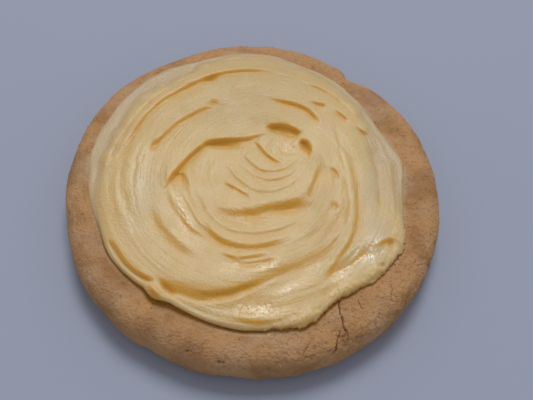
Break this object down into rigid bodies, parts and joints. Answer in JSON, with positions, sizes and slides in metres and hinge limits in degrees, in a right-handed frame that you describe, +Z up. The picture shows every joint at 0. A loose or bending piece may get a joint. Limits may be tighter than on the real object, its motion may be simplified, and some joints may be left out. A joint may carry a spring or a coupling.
{
  "type": "lemon cookie",
  "caption": "Thick round soft-baked lemon cookie with swirled lemon icing spread over its top.",
  "frame": {"origin": "middle of the cookie's flat foot, on the surface that it lies on", "axes": "+Z up out of the iced side, -Y towards the viewer of the picture, +X to the viewer's right"},
  "size_m": [0.1003, 0.1009, 0.0172],
  "materials": {
    "baked_crumb": "matte, porous, lightly browned",
    "lemon_icing": "soft satin, moist"
  },
  "bodies": {
    "root": {"cookie": "baked_crumb", "icing": "lemon_icing"}
  },
  "joints": []
}
